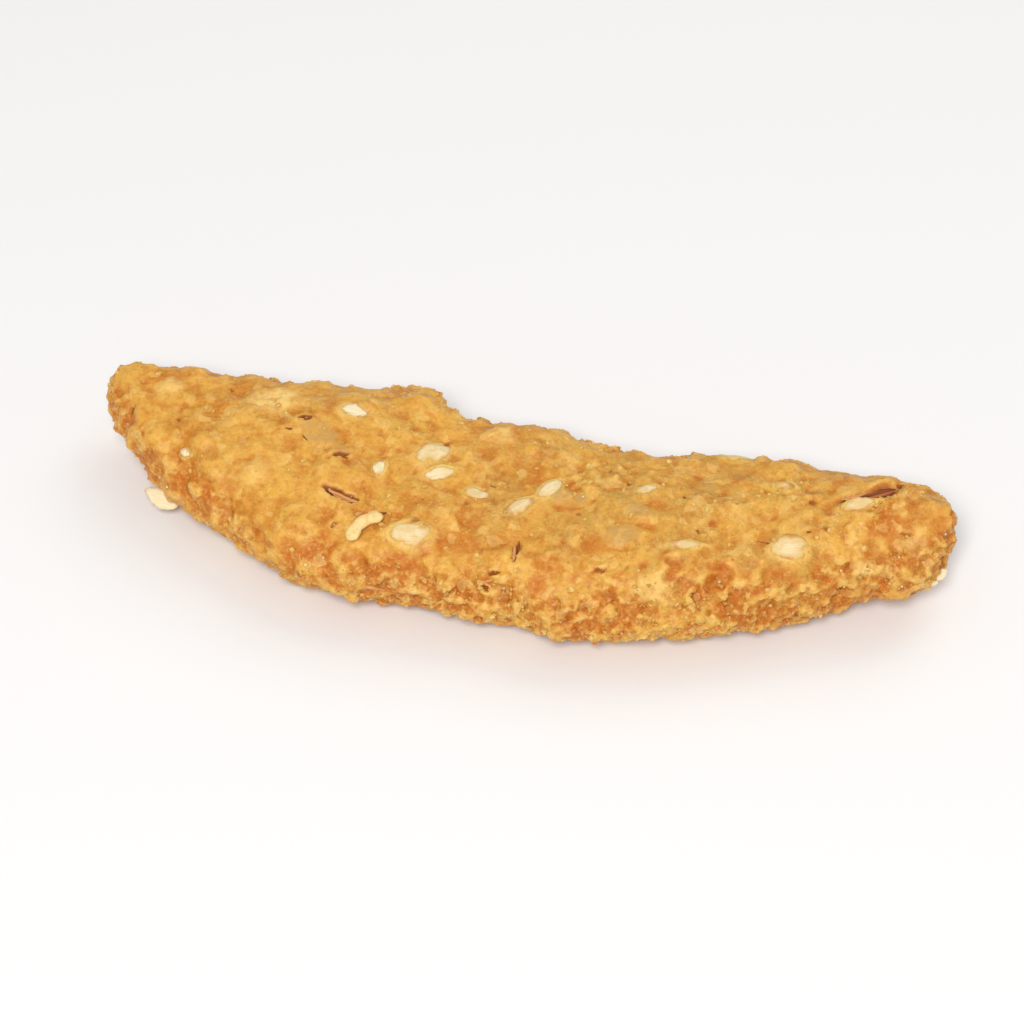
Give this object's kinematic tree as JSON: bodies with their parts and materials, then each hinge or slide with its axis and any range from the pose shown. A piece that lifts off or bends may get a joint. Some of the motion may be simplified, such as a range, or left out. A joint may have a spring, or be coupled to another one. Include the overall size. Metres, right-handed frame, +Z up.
{
  "type": "sesame stick",
  "caption": "Curved strip of crisp fried dough set with sesame seeds, broad in the middle and tapering to two blunt tips, lying flat.",
  "frame": {"origin": "the middle of the bounding box, on the surface that the stick lies on", "axes": "+X along the chord from the pointed tip to the blunt tip, +Y across the strip towards the hollow of its curve, +Z up from the flat underside"},
  "size_m": [0.0504, 0.016, 0.0067],
  "materials": {
    "crust": "golden fried dough, grainy and dry with a faint film of oil",
    "sesame": "hulled sesame seed, cream to toasted tan, satin",
    "bran": "dark flakes of wheat bran, dull",
    "salt": "fine grains of salt, clear to white"
  },
  "bodies": {
    "root": {"stick": "crust"}
  },
  "joints": []
}
